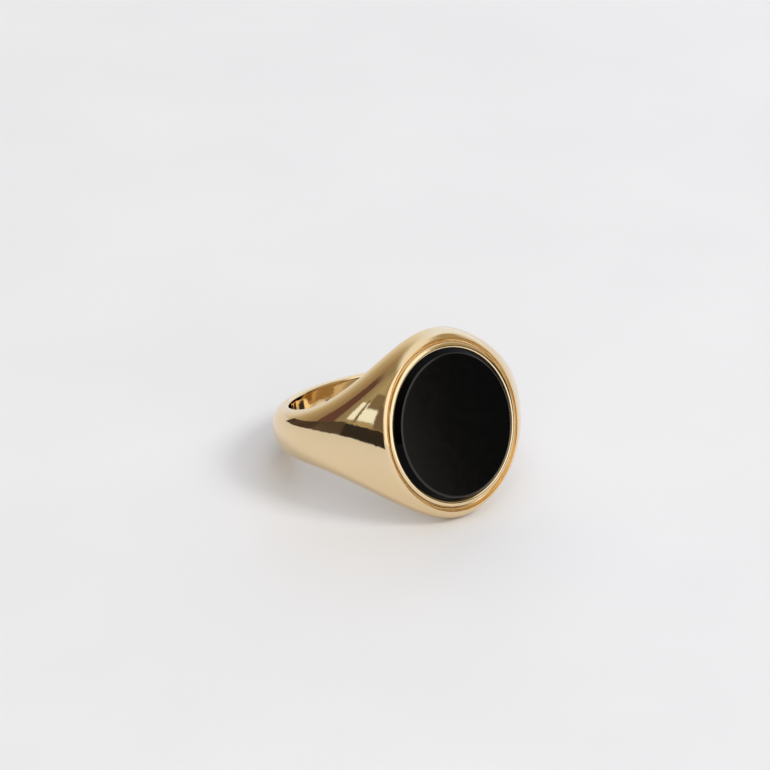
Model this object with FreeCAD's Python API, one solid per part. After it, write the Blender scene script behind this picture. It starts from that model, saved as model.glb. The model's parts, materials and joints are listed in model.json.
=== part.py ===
import FreeCAD, Part
import math
import os

# Oval signet ring set with a flat black onyx tablet. Millimetres.
#
# Everything is modelled first in the ring's own axes: the finger hole runs along Z, the face looks
# along +X and the oval of the face is long in Z. The finished ring is then laid on a table as it
# comes to rest, leaning back on the lower edge of its head and the lower edge of its shank.
# In that resting frame +Z is up, the table is z = 0 and the face still looks towards +X.

# Driving dimensions of the body
HOLE_RADIUS = 9.1
SHANK_RADIUS = 10.87        # outside radius of the shank at the middle of its width
SHANK_HALF_WIDTH = 2.11     # half the shank's width along the finger
CROWN_RADIUS = 13.64        # outside radius that the head would have if its face were not cut flat
HEAD_HALF_WIDTH = 8.63      # half the head's width along the finger, at the hole
CROWN_SPREAD = math.radians(45.7)
CROWN_POWER = 2.4
HEAD_SPREAD = math.radians(50.6)
SECTION_FULLNESS = 0.04     # squares up the shank's half-round section a little
FULLNESS_SPREAD = math.radians(45)
FACE_X = 10.64              # the rim's outer edge, measured from the finger's axis
HOLE_EDGE_ROUND = 0.35
RIM_EDGE_ROUND = 0.10

# Ovals of the face: (half length along the finger, half width across it)
LAND_FOOT = (7.98, 6.74)    # the narrow land round the channel slopes outward, from its ridge to here
CHANNEL = (7.77, 6.57)      # the ridge, which is the channel's outer wall
COLLAR = (7.36, 6.40)
SIGHT = (6.86, 5.98)        # the collar's inner edge, so what shows of the stone
GIRDLE = (6.94, 6.07)
TABLE = (6.40, 5.48)
BED = (6.80, 5.95)

# Heights on the face, measured from the rim and positive out of the ring
TABLE_HEIGHT = 0.85
CREST_HEIGHT = 0.31
RIDGE_HEIGHT = 0.20
GIRDLE_HEIGHT = 0.15
CHANNEL_HEIGHT = -0.30
SEAT_HEIGHT = -0.90
BED_THICKNESS = 0.12
CREST_ROUND = 0.12
SOLDER_SIZE = 0.10

# Fineness of the blank's skin and of the points used to find how the ring lies
SECTIONS_AROUND = 60
POINTS_ACROSS = 18
LYING_TOLERANCE = 0.02
BLANK_INSET = 1.0           # how far the blank runs into the finger hole before it is bored

FINGER_AXIS = FreeCAD.Vector(0, 0, 1)
FACE_AXIS = FreeCAD.Vector(1, 0, 0)
CROSS_AXIS = FreeCAD.Vector(0, 1, 0)


def half_width(angle):
    """Half the band's width along the finger, at an angle round the finger from the face."""
    swell = math.exp(-(angle / HEAD_SPREAD) ** 2)
    return SHANK_HALF_WIDTH + (HEAD_HALF_WIDTH - SHANK_HALF_WIDTH) * swell


def outer_radius(angle):
    """The blank's outside radius at the middle of its width."""
    swell = math.exp(-(abs(angle) / CROWN_SPREAD) ** CROWN_POWER)
    return SHANK_RADIUS + (CROWN_RADIUS - SHANK_RADIUS) * swell


def fullness(angle):
    """How square the section is: a plain half ellipse on the head, and fuller on the shank."""
    return SECTION_FULLNESS * (1 - math.exp(-(angle / FULLNESS_SPREAD) ** 2))


def section_point(angle, turn):
    """A point of the blank's D section; turn runs from 0 at one edge of the hole to pi at the other."""
    full = fullness(angle)
    rise = (math.sin(turn) + full * math.sin(3 * turn)) / (1 - full)
    radius = HOLE_RADIUS + (outer_radius(angle) - HOLE_RADIUS) * rise
    height = half_width(angle) * math.cos(turn)
    return FreeCAD.Vector(radius * math.cos(angle), radius * math.sin(angle), height)


def section_row(angle):
    """One D section of the blank, with its two ends carried on into the finger hole."""
    row = [section_point(angle, math.pi * i / POINTS_ACROSS) for i in range(POINTS_ACROSS + 1)]
    inward = FreeCAD.Vector(-math.cos(angle), -math.sin(angle), 0) * BLANK_INSET
    return [row[0] + inward] + row + [row[-1] + inward]


def blank():
    """The body before it is bored and its face is cut: a skin, closed by a wall inside the hole."""
    angles = [math.pi * (2 * i / SECTIONS_AROUND - 1) for i in range(SECTIONS_AROUND + 1)]
    surface = Part.BSplineSurface()
    surface.interpolate([section_row(angle) for angle in angles])
    skin = surface.toShape()
    upper, lower = [edge for edge in skin.Edges if edge.isClosed()]
    shell = Part.makeShell([skin, Part.makeRuledSurface(upper, lower)])
    shell.sewShape()
    return Part.makeSolid(shell)


def oval(half_axes, height):
    """An elliptical wire parallel to the face, at a height from the rim."""
    along, across = half_axes
    centre = FACE_AXIS * (FACE_X + height)
    ellipse = Part.Ellipse(centre + FINGER_AXIS * along, centre + CROSS_AXIS * across, centre)
    return Part.Wire([ellipse.toShape()])


def tablet(half_axes, bottom, top):
    """An elliptical plate between two heights."""
    return Part.Face(oval(half_axes, bottom)).extrude(FACE_AXIS * (top - bottom))


def taper(bottom_axes, bottom, top_axes, top):
    """An elliptical plate whose edge slopes evenly from one oval to another."""
    return Part.makeLoft([oval(bottom_axes, bottom), oval(top_axes, top)], True, True)


def edges_where(shape, test):
    """The edges between two faces whose middle point passes a test."""
    found = []
    for edge in shape.Edges:
        middle = edge.valueAt((edge.FirstParameter + edge.LastParameter) / 2)
        if len(shape.ancestorsOfType(edge, Part.Face)) == 2 and test(middle):
            found.append(edge)
    return found


def on_hole(point):
    return abs(math.hypot(point.x, point.y) - HOLE_RADIUS) < 1e-3


def on_rim(point):
    return abs(point.x - FACE_X) < 1e-3


def on_crest(point):
    return abs(point.x - FACE_X - CREST_HEIGHT) < 1e-3


def ring_shank():
    """Shank, shoulders and head in one piece, with a ridged channel and a seat sunk in the face."""
    reach = 2 * CROWN_RADIUS
    bore = Part.makeCylinder(HOLE_RADIUS, 2 * reach, FreeCAD.Vector(0, 0, -reach), FINGER_AXIS)
    beyond = Part.makeBox(reach, 2 * reach, 2 * reach, FreeCAD.Vector(FACE_X, -reach, -reach))
    body = blank().cut([bore, beyond]).Solids[0]
    body = body.makeFillet(HOLE_EDGE_ROUND, edges_where(body, on_hole))
    body = body.makeFillet(RIM_EDGE_ROUND, edges_where(body, on_rim))
    land = taper(LAND_FOOT, 0, CHANNEL, RIDGE_HEIGHT)
    channel = tablet(CHANNEL, CHANNEL_HEIGHT, 1.0)
    seat = tablet(COLLAR, SEAT_HEIGHT, 1.0)
    return body.fuse(land).cut([channel, seat]).Solids[0]


def onyx_tablet():
    """Flat stone with a straight girdle and a sloping bevel up to its table."""
    lower = tablet(GIRDLE, SEAT_HEIGHT + BED_THICKNESS, GIRDLE_HEIGHT)
    bevel = taper(GIRDLE, GIRDLE_HEIGHT, TABLE, TABLE_HEIGHT)
    return lower.fuse(bevel).removeSplitter().Solids[0]


def bezel_collar(stone):
    """Thin wall round the stone, with its rounded top edge rubbed over the stone's bevel."""
    wall = tablet(COLLAR, SEAT_HEIGHT, CREST_HEIGHT)
    opening = tablet(SIGHT, SEAT_HEIGHT, CREST_HEIGHT)
    collar = wall.cut(opening)
    collar = collar.makeFillet(CREST_ROUND, edges_where(collar, on_crest))
    well = tablet(GIRDLE, SEAT_HEIGHT, GIRDLE_HEIGHT)
    return collar.cut([well, stone]).Solids[0]


def setting_bed():
    """The layer of setting cement that the stone is bedded on."""
    return tablet(BED, SEAT_HEIGHT, SEAT_HEIGHT + BED_THICKNESS)


def collar_solder():
    """The fillet of solder along the collar's foot in the channel."""
    foot = tuple(half_axis + SOLDER_SIZE for half_axis in COLLAR)
    ring = taper(foot, CHANNEL_HEIGHT, COLLAR, CHANNEL_HEIGHT + SOLDER_SIZE)
    return ring.cut(tablet(COLLAR, CHANNEL_HEIGHT, 0)).Solids[0]


def outline_points(shapes):
    """Points spread closely over the pieces' surfaces."""
    return [point for shape in shapes for point in shape.tessellate(LYING_TOLERANCE)[0]]


def lying_tilt(points):
    """How far the ring leans back when the lowest points of its head and its shank are level."""
    upright, flat = 0.0, math.radians(45)
    for _ in range(30):
        tilt = (upright + flat) / 2
        heights = [(p.x, p.x * math.sin(tilt) + p.z * math.cos(tilt)) for p in points]
        head = min(height for x, height in heights if x > 0)
        shank = min(height for x, height in heights if x < 0)
        if head < shank:
            upright = tilt
        else:
            flat = tilt
    return tilt


def laid_down(shapes):
    """The pieces as they lie on the table, centred over the origin."""
    tilt = lying_tilt(outline_points([shapes["ring_shank"]]))
    for shape in shapes.values():
        shape.rotate(FreeCAD.Vector(0, 0, 0), CROSS_AXIS, -math.degrees(tilt))
    outline = FreeCAD.BoundBox()
    for point in outline_points(shapes.values()):
        outline.add(point)
    shift = FreeCAD.Vector(-outline.Center.x, -outline.Center.y, -outline.ZMin)
    for shape in shapes.values():
        shape.translate(shift)
    print("leans back by", round(math.degrees(tilt), 3), "degrees")
    print("middle of the finger hole", [round(value, 3) for value in shift])
    print("outline", [round(size, 3) for size in (outline.XLength, outline.YLength, outline.ZLength)])
    return shapes


def main():
    stone = onyx_tablet()
    shapes = {
        "ring_shank": ring_shank(),
        "bezel_collar": bezel_collar(stone),
        "onyx_tablet": stone,
        "setting_bed": setting_bed(),
        "collar_solder": collar_solder(),
    }
    os.makedirs("parts", exist_ok=True)
    for name, shape in laid_down(shapes).items():
        print(name, "volume", round(shape.Volume, 3), "valid", shape.isValid())
        shape.exportStep("parts/" + name + ".step")


main()
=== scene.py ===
import json
import math

import bmesh
import bpy
import numpy as np
from mathutils import Matrix, Vector


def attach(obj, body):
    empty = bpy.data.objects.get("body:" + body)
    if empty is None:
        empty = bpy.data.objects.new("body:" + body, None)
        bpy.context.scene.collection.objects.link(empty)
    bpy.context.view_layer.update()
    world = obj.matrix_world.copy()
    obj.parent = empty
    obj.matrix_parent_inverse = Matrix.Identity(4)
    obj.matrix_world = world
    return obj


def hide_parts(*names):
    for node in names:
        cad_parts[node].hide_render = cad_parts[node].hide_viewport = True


# An oval signet ring with a bevelled onyx tablet, lying on a pale table. The gold mirrors a room that
# the world shader draws, and low dark cards that stand round the ring hidden from the camera.
#
# The shapes are worked out in millimetres in the ring's own axes (finger hole along Z, face towards
# +X), with the CAD part's dimensions apart from the small roundings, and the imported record's mounts
# put them in place.

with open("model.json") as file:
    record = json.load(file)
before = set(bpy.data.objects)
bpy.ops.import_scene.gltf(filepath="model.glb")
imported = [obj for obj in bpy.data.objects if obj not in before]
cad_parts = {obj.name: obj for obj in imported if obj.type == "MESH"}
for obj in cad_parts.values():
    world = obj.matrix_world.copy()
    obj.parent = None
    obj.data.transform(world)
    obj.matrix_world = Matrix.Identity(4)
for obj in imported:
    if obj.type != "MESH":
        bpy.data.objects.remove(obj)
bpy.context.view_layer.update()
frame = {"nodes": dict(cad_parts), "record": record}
mounts = {mount["name"]: mount for mount in frame["record"]["mounts"]}

MM = 0.001

# Body
HOLE_RADIUS = mounts["finger_hole"]["dims"]["r_mm"]
SHANK_RADIUS = 10.87
SHANK_HALF_WIDTH = 2.11
CROWN_RADIUS = 13.64
HEAD_HALF_WIDTH = 8.63
CROWN_SPREAD = math.radians(45.7)
CROWN_POWER = 2.4
HEAD_SPREAD = math.radians(50.6)
SECTION_FULLNESS = 0.04
FULLNESS_SPREAD = math.radians(45)
FACE_X = 10.64
HOLE_EDGE_ROUND = 0.42
RIM_EDGE_ROUND = 0.08

# Ovals of the face: (half length along the finger, half width across it)
CHANNEL = (7.77, 6.57)      # the ridge round the channel, from which the rim slopes outward
COLLAR = (7.36, 6.40)
SIGHT = (6.86, 5.98)
GIRDLE = (6.94, 6.07)
TABLE = (6.40, 5.48)

# Heights from the rim's outer edge
TABLE_HEIGHT = 0.85
CREST_HEIGHT = 0.31
SIGHT_HEIGHT = 0.255
COLLAR_SHOULDER_HEIGHT = 0.08
RIDGE_HEIGHT = 0.20
GIRDLE_HEIGHT = 0.15
CHANNEL_HEIGHT = -0.30
SEAT_HEIGHT = -0.90
BED_THICKNESS = 0.12

# Small roundings
RIDGE_ROUND = 0.04
COVE_WIDTH = 0.7            # the share of the channel's width that its rounded foot takes up
COVE_HEIGHT = 0.28
TABLE_EDGE_ROUND = 0.05
GIRDLE_CHAMFER = 0.10

# Slopes
LAND_FALL = 0.7             # how far the rim falls for each millimetre outward from its ridge
COLLAR_LEAN = 3.5           # 2 puts the collar's highest line halfway across it, and more nearer the stone

# Mesh fineness
RAYS_TO_EDGE = 170          # chart rays in a quarter turn that end on an edge of the finger hole
RAYS_TO_BACK = 10           # chart rays in a quarter turn that end at the back of the shank
CHART_STRETCH = 0.22        # smaller gives more of the rays to the shank
SKIN_ROWS = 60
SKIN_GATHER = 1.25          # above 1 draws the rows of the skin together near the face
MERGE_DISTANCE = 1e-5       # points closer than this are one
SHARP_ANGLE = math.radians(50)
ROUND_STEPS = 6
WALL_ROWS = 16
CREST_STEPS = 22
LOOP_POINTS = 520


def ring_axes():
    """From the ring's own axes, in millimetres, to the frame, in metres."""
    finger = Vector(mounts["finger_hole"]["axis"]).normalized()
    face = Vector(mounts["stone_table"]["axis"]).normalized()
    across = finger.cross(face)
    place = Matrix((face, across, finger)).transposed().to_4x4()
    place.translation = Vector(mounts["finger_hole"]["pos_m"])
    return place @ Matrix.Scale(MM, 4)


RING = ring_axes()


def add_object(name, data):
    piece = bpy.data.objects.new(name, data)
    bpy.context.scene.collection.objects.link(piece)
    return piece


# --- meshes from grids of points -----------------------------------------------------------------

class Mesh:
    """Collects grids of points and their faces, and turns them into one object."""

    def __init__(self):
        self.points = []
        self.faces = []

    def add_grid(self, grid, closed=False):
        """A grid of quads from an array of rows x columns x 3. If closed, its last column meets its
        first."""
        rows, columns = grid.shape[:2]
        first = len(self.points)
        self.points.extend(grid.reshape(-1, 3).tolist())
        for row in range(rows - 1):
            for column in range(columns if closed else columns - 1):
                following = (column + 1) % columns
                a = first + row * columns
                b = a + columns
                self.faces.append((a + column, a + following, b + following, b + column))

    def add_cap(self, loop):
        """A fan of triangles from a closed loop of points to its middle."""
        first = len(self.points)
        self.points.extend(loop.tolist())
        self.points.append(loop.mean(axis=0).tolist())
        count = len(loop)
        for i in range(count):
            self.faces.append((first + i, first + (i + 1) % count, first + count))

    def build(self, name, material):
        """The object, in metres in the frame, shaded smooth except at sharp edges."""
        data = bpy.data.meshes.new(name)
        data.from_pydata(self.points, [], self.faces)
        mesh = bmesh.new()
        mesh.from_mesh(data)
        bmesh.ops.remove_doubles(mesh, verts=mesh.verts, dist=MERGE_DISTANCE)
        bmesh.ops.recalc_face_normals(mesh, faces=mesh.faces)
        mesh.to_mesh(data)
        mesh.free()
        data.transform(RING)
        data.shade_smooth()
        data.set_sharp_from_angle(angle=SHARP_ANGLE)
        data.materials.append(material)
        return add_object(name, data)


def bend(start, corner, end, steps):
    """Rows of a turn from start to end that would meet at corner, without the first row.
    A turn through a right angle comes out as a circular arc."""
    rows = []
    for step in range(1, steps + 1):
        t = step / steps
        near, middle, far = (1 - t) ** 2, math.sqrt(2) * t * (1 - t), t ** 2
        rows.append((near * start + middle * corner + far * end) / (near + middle + far))
    return rows


def oval_loop(half_axes, height, turns):
    along, across = half_axes
    x = np.full_like(turns, FACE_X + height)
    return np.stack([x, across * np.sin(turns), along * np.cos(turns)], axis=-1)


def grown(half_axes, amount):
    return half_axes[0] + amount, half_axes[1] + amount


def mixed(from_axes, to_axes, share):
    return tuple(a + (b - a) * share for a, b in zip(from_axes, to_axes))


# --- the body ------------------------------------------------------------------------------------

def half_width(angle):
    swell = np.exp(-(angle / HEAD_SPREAD) ** 2)
    return SHANK_HALF_WIDTH + (HEAD_HALF_WIDTH - SHANK_HALF_WIDTH) * swell


def outer_radius(angle):
    swell = np.exp(-(np.abs(angle) / CROWN_SPREAD) ** CROWN_POWER)
    return SHANK_RADIUS + (CROWN_RADIUS - SHANK_RADIUS) * swell


def fullness(angle):
    return SECTION_FULLNESS * (1 - np.exp(-(angle / FULLNESS_SPREAD) ** 2))


def ring_point(angle, radius, height):
    return np.stack([radius * np.cos(angle), radius * np.sin(angle), height], axis=-1)


def skin(angle, turn):
    """The outside of the blank: angle goes round the finger, and turn across the D section."""
    full = fullness(angle)
    rise = (np.sin(turn) + full * np.sin(3 * turn)) / (1 - full)
    radius = HOLE_RADIUS + (outer_radius(angle) - HOLE_RADIUS) * rise
    return ring_point(angle, radius, half_width(angle) * np.cos(turn))


def edge_turn(angle):
    """The turn at which the rounding of the hole's edge begins."""
    full = fullness(angle)
    slope = (outer_radius(angle) - HOLE_RADIUS) * (1 + 3 * full) / (1 - full)
    return HOLE_EDGE_ROUND / slope


def chart(u, v):
    """The skin from chart coordinates: u runs from -1 to 1 once round the finger from the back of the shank,
    and v from -1 at the upper edge of the hole to 1 at the lower one."""
    angle = math.pi * u
    return skin(angle, math.pi / 2 + v * (math.pi / 2 - edge_turn(angle)))


def border_point(direction):
    """Where a ray from the middle of the face leaves the chart; direction 0 is up."""
    u = CHART_STRETCH * np.sin(direction)
    v = -np.cos(direction)
    scale = 1 / np.maximum(np.abs(u), np.abs(v))
    return u * scale, v * scale


def reach_of_face(u, v):
    """How far along each ray to the border the flat face ends."""
    near, far = np.zeros_like(u), np.ones_like(u)
    for _ in range(50):
        middle = (near + far) / 2
        inside = chart(u * middle, v * middle)[:, 0] > FACE_X
        near = np.where(inside, middle, near)
        far = np.where(inside, far, middle)
    return far


def evenly_between(start, end, count):
    """Ray directions spread evenly over the rim and the chart's border taken together."""
    fine = np.linspace(start, end, 3001)
    u, v = border_point(fine)
    reach = reach_of_face(u, v)
    length = np.zeros(len(fine) - 1)
    for line in (chart(u * reach, v * reach), chart(u, v)):
        length += np.linalg.norm(np.diff(line, axis=0), axis=1)
    travelled = np.concatenate([[0], np.cumsum(length)])
    return np.interp(np.linspace(0, travelled[-1], count + 1), travelled, fine)


def ray_directions():
    """Directions once round the face. Each corner of the chart has a ray of its own."""
    corner = math.atan(1 / CHART_STRETCH)
    to_edge = evenly_between(0, corner, RAYS_TO_EDGE)
    to_back = evenly_between(corner, math.pi / 2, RAYS_TO_BACK)
    quarter = np.concatenate([to_edge, to_back[1:]])
    half = np.concatenate([quarter, math.pi - quarter[-2::-1]])
    return np.concatenate([half, 2 * math.pi - half[-2:0:-1]])


def face_rows(turns):
    """Loops from the middle of the seat, up its wall and across the channel, over its ridge."""
    wall_foot = oval_loop(CHANNEL, CHANNEL_HEIGHT + COVE_HEIGHT, turns)
    wall_top = oval_loop(CHANNEL, RIDGE_HEIGHT - RIDGE_ROUND, turns)
    floor_edge = oval_loop(mixed(CHANNEL, COLLAR, COVE_WIDTH), CHANNEL_HEIGHT, turns)
    land_start = oval_loop(grown(CHANNEL, RIDGE_ROUND), RIDGE_HEIGHT - RIDGE_ROUND * LAND_FALL, turns)
    rows = [oval_loop(mixed((0, 0), COLLAR, share), SEAT_HEIGHT, turns) for share in (0.2, 0.5, 0.8, 1)]
    rows.append(oval_loop(COLLAR, CHANNEL_HEIGHT, turns))
    rows.append(floor_edge)
    rows += bend(floor_edge, oval_loop(CHANNEL, CHANNEL_HEIGHT, turns), wall_foot, ROUND_STEPS)
    rows.append(wall_top)
    rows += bend(wall_top, oval_loop(CHANNEL, RIDGE_HEIGHT, turns), land_start, ROUND_STEPS)
    return rows


def rim_rows(u, v, reach, ridge):
    """The rim's outer edge, rounded over on to the skin. Returns its rows and where the skin begins."""
    corner = chart(u * reach, v * reach)
    small = 1e-4            # a short step along each ray, to find how fast it travels
    speed = np.linalg.norm(chart(u * (reach + small), v * (reach + small)) - corner, axis=1) / small
    begin = reach + RIM_EDGE_ROUND / speed
    inward = ridge - corner
    inward /= np.linalg.norm(inward, axis=1)[:, None]
    land = corner + inward * RIM_EDGE_ROUND
    start = chart(u * begin, v * begin)
    return [land] + bend(land, corner, start, ROUND_STEPS), begin


def hole_rows(angles):
    """The finger hole from the end of the skin at its upper edge to the same at its lower edge."""
    turn = edge_turn(angles)
    full = fullness(angles)
    start = skin(angles, turn)
    rise = (np.cos(turn) + 3 * full * np.cos(3 * turn)) / (1 - full)
    outward = (outer_radius(angles) - HOLE_RADIUS) * rise
    lean = half_width(angles) * np.sin(turn) / outward
    start_radius = np.hypot(start[:, 0], start[:, 1])
    top = start[:, 2] + lean * (start_radius - HOLE_RADIUS)
    radius = np.full_like(angles, HOLE_RADIUS)
    corner = ring_point(angles, radius, top)
    wall_top = ring_point(angles, radius, top - HOLE_EDGE_ROUND)
    upper = [start] + bend(start, corner, wall_top, ROUND_STEPS)
    flip = np.array([1, 1, -1])
    wall = [wall_top * (1, 1, 1 - 2 * step / WALL_ROWS) for step in range(1, WALL_ROWS)]
    return upper + wall + [row * flip for row in reversed(upper)]


def ring_body(material):
    """Shank, shoulders and head in one piece."""
    directions = ray_directions()
    u, v = border_point(directions)
    reach = reach_of_face(u, v)
    rim = chart(u * reach, v * reach)
    rim_axes = (np.abs(rim[:, 2]).max(), np.abs(rim[:, 1]).max())
    turns = np.arctan2(rim[:, 1] / rim_axes[1], rim[:, 2] / rim_axes[0])
    rows = face_rows(turns)
    edge, begin = rim_rows(u, v, reach, rows[-1])
    rows += edge
    for step in range(1, SKIN_ROWS + 1):
        way = begin + (1 - begin) * (step / SKIN_ROWS) ** SKIN_GATHER
        rows.append(chart(u * way, v * way))
    mesh = Mesh()
    mesh.add_grid(np.array(rows), closed=True)
    mesh.add_cap(rows[0])
    upper = np.abs(v + 1) < 1e-9
    angles = math.pi * np.sort(u[upper])
    mesh.add_grid(np.array(hole_rows(angles)))
    return mesh.build("ring_body", material)


# --- the collar and the stone --------------------------------------------------------------------

def loop_turns():
    return np.linspace(0, 2 * math.pi, LOOP_POINTS, endpoint=False)


def collar(material):
    """A thin wall round the stone. Its crest is rounded, highest near the stone, and its lip turns down on
    to the bevel."""
    turns = loop_turns()
    rows = [oval_loop(COLLAR, SEAT_HEIGHT, turns), oval_loop(COLLAR, 0, turns)]
    for step in range(CREST_STEPS + 1):
        roll = math.pi * step / CREST_STEPS
        share = math.cos(roll / 2) ** COLLAR_LEAN
        foot = SIGHT_HEIGHT + (COLLAR_SHOULDER_HEIGHT - SIGHT_HEIGHT) * share
        height = foot + (CREST_HEIGHT - foot) * math.sin(roll)
        rows.append(oval_loop(mixed(SIGHT, COLLAR, share), height, turns))
    rows.append(oval_loop(GIRDLE, GIRDLE_HEIGHT, turns))
    rows.append(oval_loop(GIRDLE, SEAT_HEIGHT, turns))
    rows.append(rows[0])
    mesh = Mesh()
    mesh.add_grid(np.array(rows), closed=True)
    return mesh.build("bezel_collar_shell", material)


def stone(material):
    """A flat tablet with a straight girdle, a sloping bevel and a crisp, barely rounded table edge."""
    turns = loop_turns()
    bottom = SEAT_HEIGHT + BED_THICKNESS
    narrow = grown(GIRDLE, -GIRDLE_CHAMFER)
    rows = [oval_loop(mixed((0, 0), narrow, share), bottom, turns) for share in (0.3, 0.7, 1)]
    rows.append(oval_loop(GIRDLE, bottom + GIRDLE_CHAMFER, turns))
    rows.append(oval_loop(GIRDLE, GIRDLE_HEIGHT, turns))
    rise = TABLE_HEIGHT - GIRDLE_HEIGHT
    bevel_end = 1 - TABLE_EDGE_ROUND / rise
    for share in (0.3, 0.6, 0.9, bevel_end):
        rows.append(oval_loop(mixed(GIRDLE, TABLE, share), GIRDLE_HEIGHT + rise * share, turns))
    table_start = oval_loop(grown(TABLE, -TABLE_EDGE_ROUND), TABLE_HEIGHT, turns)
    rows += bend(rows[-1], oval_loop(TABLE, TABLE_HEIGHT, turns), table_start, ROUND_STEPS)
    table = grown(TABLE, -TABLE_EDGE_ROUND)
    for share in (0.98, 0.8, 0.55, 0.3, 0.1):
        rows.append(oval_loop(mixed((0, 0), table, share), TABLE_HEIGHT, turns))
    mesh = Mesh()
    mesh.add_grid(np.array(rows), closed=True)
    mesh.add_cap(rows[0])
    mesh.add_cap(rows[-1])
    return mesh.build("onyx_stone", material)


# --- materials -----------------------------------------------------------------------------------

# Sizes of the marks on the surfaces, in metres
BUFFING_WAVE = 0.0028
BUFFING_RIPPLE = 0.0003
BUFFING_SMEAR = 0.0012
HAIRLINE = 0.00006
STONE_WAVE = 0.003
STONE_SMEAR = 0.0009
SCRATCH = 0.00007
CEMENT_GRAIN = 0.0003
TABLE_CLOUD = 0.02
TABLE_GRAIN = 0.001

NOISE_TURN = (0.3, 0.2, 0.1)    # turns the marks away from the axes, in radians
BEVEL_MARGIN = 0.00008          # the stone's full shine begins within this of its table


class Shading:
    """A material, with helpers that add nodes to it. Lengths are in metres in the object's own axes."""

    def __init__(self, name, colour, roughness, metallic=0.0):
        self.material = bpy.data.materials.new(name)
        self.material.use_nodes = True
        self.nodes = self.material.node_tree.nodes
        self.links = self.material.node_tree.links
        self.shader = self.nodes["Principled BSDF"]
        self.shader.inputs["Base Color"].default_value = (*colour, 1)
        self.shader.inputs["Roughness"].default_value = roughness
        self.shader.inputs["Metallic"].default_value = metallic

    def noise(self, feature, stretch=(1, 1, 1), detail=3.0):
        """Noise with features of a given size, drawn out along the axes where stretch is above 1."""
        place = self.nodes.new("ShaderNodeTexCoord")
        mapping = self.nodes.new("ShaderNodeMapping")
        mapping.inputs["Scale"].default_value = tuple(1 / (feature * times) for times in stretch)
        mapping.inputs["Rotation"].default_value = NOISE_TURN
        texture = self.nodes.new("ShaderNodeTexNoise")
        texture.inputs["Scale"].default_value = 1.0
        texture.inputs["Detail"].default_value = detail
        self.links.new(place.outputs["Object"], mapping.inputs["Vector"])
        self.links.new(mapping.outputs["Vector"], texture.inputs["Vector"])
        return texture.outputs["Fac"]

    def ranged(self, source, low, high, to_low, to_high):
        """The source, stretched from one range to another and kept within it."""
        node = self.nodes.new("ShaderNodeMapRange")
        node.inputs["From Min"].default_value = low
        node.inputs["From Max"].default_value = high
        node.inputs["To Min"].default_value = to_low
        node.inputs["To Max"].default_value = to_high
        self.links.new(source, node.inputs["Value"])
        return node.outputs["Result"]

    def height_above(self, mount):
        """The height over a flat mount, along its axis."""
        place = self.nodes.new("ShaderNodeTexCoord")
        project = self.nodes.new("ShaderNodeVectorMath")
        project.operation = "DOT_PRODUCT"
        project.inputs[1].default_value = mount["axis"]
        self.links.new(place.outputs["Object"], project.inputs[0])
        level = self.nodes.new("ShaderNodeMath")
        level.operation = "SUBTRACT"
        level.inputs[1].default_value = Vector(mount["pos_m"]).dot(Vector(mount["axis"]))
        self.links.new(project.outputs["Value"], level.inputs[0])
        return level.outputs[0]

    def vary_roughness(self, source, low, high):
        self.links.new(self.ranged(source, 0.35, 0.7, low, high), self.shader.inputs["Roughness"])

    def vary_colour(self, source, dark, light, start=0.35, end=0.65):
        ramp = self.nodes.new("ShaderNodeValToRGB")
        ramp.color_ramp.elements[0].position = start
        ramp.color_ramp.elements[0].color = (*dark, 1)
        ramp.color_ramp.elements[1].position = end
        ramp.color_ramp.elements[1].color = (*light, 1)
        self.links.new(source, ramp.inputs["Fac"])
        self.links.new(ramp.outputs["Color"], self.shader.inputs["Base Color"])

    def bump(self, layers):
        """Bumps from pairs of a height source and a depth."""
        normal = None
        for source, depth in layers:
            node = self.nodes.new("ShaderNodeBump")
            node.inputs["Distance"].default_value = depth
            self.links.new(source, node.inputs["Height"])
            if normal is not None:
                self.links.new(normal, node.inputs["Normal"])
            normal = node.outputs["Normal"]
        self.links.new(normal, self.shader.inputs["Normal"])


def gold(name, roughness=0.04, wave=1.2e-5):
    """Polished gold, with buffing waves of a given depth in metres and shallower ripples and hairlines."""
    shading = Shading(name, (0.86, 0.68, 0.425), roughness, 1.0)
    shading.vary_roughness(shading.noise(BUFFING_SMEAR), roughness * 0.7, roughness * 1.5)
    waves = shading.noise(BUFFING_WAVE, detail=1.0)
    ripples = shading.noise(BUFFING_RIPPLE, detail=1.0)
    hairlines = shading.noise(HAIRLINE, (1, 14, 1), 2.0)
    shading.bump([(waves, wave), (ripples, wave / 6), (hairlines, wave / 24)])
    return shading.material


def onyx():
    """Polished black stone with faint rubbing marks. The bevel shines less than the table."""
    black = (0.0008, 0.0008, 0.0009)
    shading = Shading("polished_onyx", black, 0.05)
    shading.shader.inputs["IOR"].default_value = 1.50
    shading.vary_roughness(shading.noise(STONE_SMEAR), 0.05, 0.07)
    scratches = shading.noise(SCRATCH, (1, 1, 30), 2.0)
    shading.vary_colour(scratches, black, (0.010, 0.010, 0.011), 0.66, 0.80)
    height = shading.height_above(mounts["stone_table"])
    shine = shading.ranged(height, -BEVEL_MARGIN, -BEVEL_MARGIN / 2, 0.06, 0.5)
    shading.links.new(shine, shading.shader.inputs["Specular IOR Level"])
    shading.bump([(shading.noise(STONE_WAVE, detail=1.0), 5e-7), (scratches, 1e-7)])
    return shading.material


def cement():
    shading = Shading("pale_cement", (0.55, 0.5, 0.38), 0.7)
    grains = shading.noise(CEMENT_GRAIN)
    shading.vary_colour(grains, (0.45, 0.4, 0.3), (0.62, 0.57, 0.45))
    shading.bump([(grains, 5e-5)])
    return shading.material


def table_top():
    shading = Shading("pale_table", (0.86, 0.86, 0.88), 0.6)
    clouds = shading.noise(TABLE_CLOUD, detail=2.0)
    shading.vary_colour(clouds, (0.80, 0.805, 0.835), (0.82, 0.825, 0.855))
    shading.bump([(shading.noise(TABLE_GRAIN), 1e-5)])
    return shading.material


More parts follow.
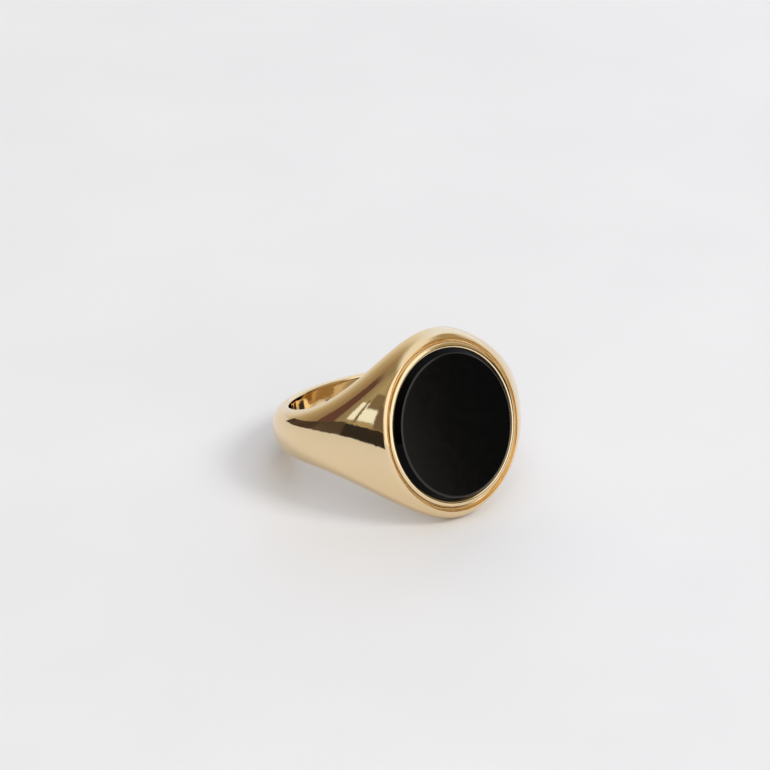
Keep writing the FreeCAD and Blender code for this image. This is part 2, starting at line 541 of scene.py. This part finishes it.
# --- the ring ------------------------------------------------------------------------------------

body = ring_body(gold("polished_gold"))
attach(body, "root")
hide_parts("ring_shank")

bezel = collar(gold("polished_collar_gold"))
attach(bezel, "root")
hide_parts("bezel_collar")

tablet = stone(onyx())
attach(tablet, "root")
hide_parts("onyx_tablet")

for node, material in (("collar_solder", gold("satin_solder", 0.3, 3e-5)), ("setting_bed", cement())):
    part = frame["nodes"][node]
    part.data.materials.clear()
    part.data.materials.append(material)


# --- table and camera ----------------------------------------------------------------------------

TABLE_SIZE = 3.0

CAMERA_AZIMUTH = 58.78
CAMERA_ELEVATION = 28.32
CAMERA_ROLL = 1.26
CAMERA_DISTANCE = 0.370
VIEW_WIDTH = 0.06929        # how much the picture takes in at the ring's distance
AIM_LEFT = 0.00067          # the camera aims this far to the left of the finger hole's middle
AIM_UP = 0.00237


def direction(azimuth, elevation):
    """A unit vector. Azimuth 0 looks along -Y and 90 along +X; both angles are in degrees."""
    azimuth, elevation = math.radians(azimuth), math.radians(elevation)
    flat = math.cos(elevation)
    return Vector((math.sin(azimuth) * flat, -math.cos(azimuth) * flat, math.sin(elevation)))


def add_table():
    data = bpy.data.meshes.new("table_top")
    half = TABLE_SIZE / 2
    corners = [(-half, -half, 0), (half, -half, 0), (half, half, 0), (-half, half, 0)]
    data.from_pydata(corners, [], [(0, 1, 2, 3)])
    data.materials.append(table_top())
    return add_object("table_top", data)


def add_camera():
    centre = Vector(mounts["finger_hole"]["pos_m"])
    roll = math.radians(CAMERA_ROLL)
    towards = direction(CAMERA_AZIMUTH, CAMERA_ELEVATION)
    right = direction(CAMERA_AZIMUTH + 90, 0)
    up = towards.cross(right)
    leaned_right = right * math.cos(roll) + up * math.sin(roll)
    leaned_up = towards.cross(leaned_right)
    place = centre + towards * CAMERA_DISTANCE
    aim = centre - leaned_right * AIM_LEFT + leaned_up * AIM_UP
    back = (place - aim).normalized()
    side = leaned_up.cross(back).normalized()
    turn = Matrix((side, back.cross(side), back)).transposed().to_4x4()
    turn.translation = place
    data = bpy.data.cameras.new("camera")
    data.sensor_width = 36
    data.lens = data.sensor_width * CAMERA_DISTANCE / VIEW_WIDTH
    data.clip_start = 0.01
    camera = add_object("camera", data)
    camera.matrix_world = turn
    bpy.context.scene.camera = camera


floor = add_table()
add_camera()


# --- light and surroundings ----------------------------------------------------------------------

def add_area(name, azimuth, elevation, distance, size, power):
    """A soft square light aimed at the ring. The polished gold doesn't mirror it."""
    data = bpy.data.lights.new(name, "AREA")
    data.size = size
    data.energy = power
    light = add_object(name, data)
    towards = direction(azimuth, elevation)
    light.location = towards * distance
    light.rotation_euler = towards.to_track_quat("Z", "Y").to_euler()
    light.visible_glossy = False


add_area("key_light", azimuth=126, elevation=45, distance=1.25, size=0.42, power=6.0)


class Room:
    """The surroundings, as a colour for each direction: a ring of walls with soft-edged patches on it."""

    def __init__(self):
        self.world = bpy.data.worlds.new("room")
        self.world.use_nodes = True
        self.nodes = self.world.node_tree.nodes
        self.links = self.world.node_tree.links
        place = self.nodes.new("ShaderNodeTexCoord")
        split = self.nodes.new("ShaderNodeSeparateXYZ")
        self.links.new(place.outputs["Generated"], split.inputs[0])
        backward = self.math("MULTIPLY", split.outputs["Y"], -1.0)
        self.azimuth = self.math("DEGREES", self.math("ARCTAN2", split.outputs["X"], backward))
        self.elevation = self.math("DEGREES", self.math("ARCSINE", split.outputs["Z"]))
        self.colour = None

    def math(self, operation, first, second=None):
        """One sum on a node's output. The second value is another output, a number or nothing."""
        node = self.nodes.new("ShaderNodeMath")
        node.operation = operation
        self.links.new(first, node.inputs[0])
        if isinstance(second, float):
            node.inputs[1].default_value = second
        elif second is not None:
            self.links.new(second, node.inputs[1])
        return node.outputs[0]

    def walls(self, stops):
        """Colours once round the room, from azimuth -180 to 180."""
        turn = self.math("DIVIDE", self.math("ADD", self.azimuth, 180.0), 360.0)
        ramp = self.nodes.new("ShaderNodeValToRGB")
        elements = ramp.color_ramp.elements
        elements.remove(elements[1])
        elements[0].position = (stops[0][0] + 180) / 360
        elements[0].color = (*stops[0][1], 1)
        for azimuth, colour in stops[1:]:
            elements.new((azimuth + 180) / 360).color = (*colour, 1)
        self.links.new(turn, ramp.inputs["Fac"])
        self.colour = ramp.outputs["Color"]

    def within(self, angle, low, high, soft):
        """1 between two angles, fading to 0 over a soft edge outside them."""
        middle, half = (low + high) / 2, (high - low) / 2
        away = self.math("ABSOLUTE", self.math("SUBTRACT", angle, float(middle)))
        node = self.nodes.new("ShaderNodeMapRange")
        node.interpolation_type = "SMOOTHSTEP"
        node.inputs["From Min"].default_value = half + soft
        node.inputs["From Max"].default_value = half
        self.links.new(away, node.inputs["Value"])
        return node.outputs["Result"]

    def patch(self, azimuths, elevations, softness, colour):
        """A soft-edged area of one colour. Softness is given along and up."""
        share = self.math("MULTIPLY", self.within(self.azimuth, *azimuths, softness[0]),
                          self.within(self.elevation, *elevations, softness[1]))
        node = self.nodes.new("ShaderNodeMix")
        node.data_type = "RGBA"
        under, over = [socket for socket in node.inputs if socket.type == "RGBA"]
        over.default_value = (*colour, 1)
        self.links.new(share, node.inputs["Factor"])
        self.links.new(self.colour, under)
        self.colour = next(socket for socket in node.outputs if socket.type == "RGBA")

    def finish(self):
        background = self.nodes["Background"]
        self.links.new(self.colour, background.inputs["Color"])
        bpy.context.scene.world = self.world


# The room that the gold and the stone mirror. Its colours, and the places of some patches, began as
# figures from another program, which worked out from the tones of a picture of the ring how bright each
# direction must be. They were rounded, and some were changed. The patches' names are made up.
room = Room()
room.walls([                # azimuth and colour
    (-180, (0.75, 0.75, 0.75)),
    (-150, (0.95, 1.02, 1.15)),
    (-130, (0.93, 1.03, 1.28)),
    (-110, (0.88, 0.93, 1.0)),
    (-90, (0.78, 0.75, 0.68)),
    (-70, (0.52, 0.44, 0.30)),
    (-45, (0.34, 0.25, 0.15)),
    (-20, (0.30, 0.25, 0.17)),
    (0, (0.46, 0.39, 0.24)),
    (25, (0.35, 0.27, 0.18)),
    (34, (0.60, 0.50, 0.38)),
    (42, (1.15, 1.14, 1.08)),
    (60, (1.30, 1.30, 1.27)),
    (112, (1.30, 1.30, 1.27)),
    (119, (0.42, 0.34, 0.20)),
    (165, (0.42, 0.34, 0.20)),
    (180, (0.75, 0.75, 0.75)),
])
room.patch((-37, -23), (0, 35), (3, 12), (0.14, 0.07, 0.06))            # a dark red curtain
room.patch((-12, 12), (7, 21), (1.5, 2), (1.0, 1.1, 1.15))              # a small window
room.patch((-6, -4), (4, 24), (1, 1), (0.25, 0.20, 0.13))               # its bar
room.patch((-1, 15), (19, 30), (2, 3), (0.22, 0.17, 0.11))              # the lintel over it
room.patch((14, 28), (4, 20), (3, 4), (0.18, 0.14, 0.10))               # the wall beside it
room.patch((118, 172), (-5, 12), (1.5, 4), (0.05, 0.048, 0.045))        # dark furniture
room.patch((-180, 180), (66, 90), (1, 14), (0.95, 0.95, 0.95))          # the ceiling
room.finish()


CARD_STEPS = 24


def dark_card(name, start, end, radius, height, colour):
    """A low curved card standing round the ring. It shows only in reflections, and blocks no light."""
    points = []
    for step in range(CARD_STEPS + 1):
        foot = direction(start + (end - start) * step / CARD_STEPS, 0) * radius
        points += [foot, foot + Vector((0, 0, height))]
    faces = [(2 * i, 2 * i + 2, 2 * i + 3, 2 * i + 1) for i in range(CARD_STEPS)]
    data = bpy.data.meshes.new(name)
    data.from_pydata(points, [], faces)
    shading = Shading(name, colour, 0.9)
    shading.vary_colour(shading.noise(TABLE_CLOUD), tuple(value * 0.7 for value in colour), colour)
    data.materials.append(shading.material)
    card = add_object(name, data)
    card.visible_camera = False
    card.visible_shadow = False
    card.visible_diffuse = False


dark_card("left_card", -66, -26, 0.070, 0.012, (0.07, 0.045, 0.035))
dark_card("middle_card", -26, -4, 0.062, 0.012, (0.10, 0.07, 0.05))
dark_card("front_card", -4, 34, 0.060, 0.011, (0.03, 0.022, 0.016))

bpy.context.scene.view_settings.view_transform = "Standard"
